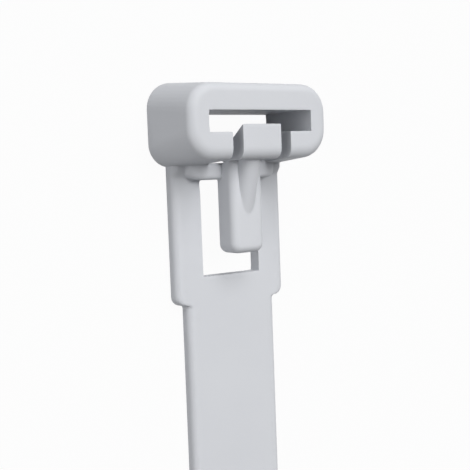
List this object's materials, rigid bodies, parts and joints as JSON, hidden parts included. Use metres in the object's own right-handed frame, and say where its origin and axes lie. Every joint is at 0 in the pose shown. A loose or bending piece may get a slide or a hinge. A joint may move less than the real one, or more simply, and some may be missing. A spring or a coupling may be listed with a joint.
{
  "type": "releasable cable tie",
  "caption": "Releasable cable tie with a slotted head, a pawl on a hinged release lever, a windowed neck and a toothed strap with a tapered tail.",
  "frame": {"origin": "on the strap's back face, at the centre of the width and halfway along the whole tie, so that the tie lies on its back on z = 0", "axes": "+Y along the strap towards the top of the head, +X across the strap, +Z from the strap's back face to the head's front face with the pawl and lever"},
  "size_m": [0.0122, 0.2, 0.0054],
  "materials": {
    "moulded_polyamide": "light grey moulded polyamide, satin"
  },
  "bodies": {
    "root": {"cable_tie": "moulded_polyamide"}
  },
  "joints": []
}
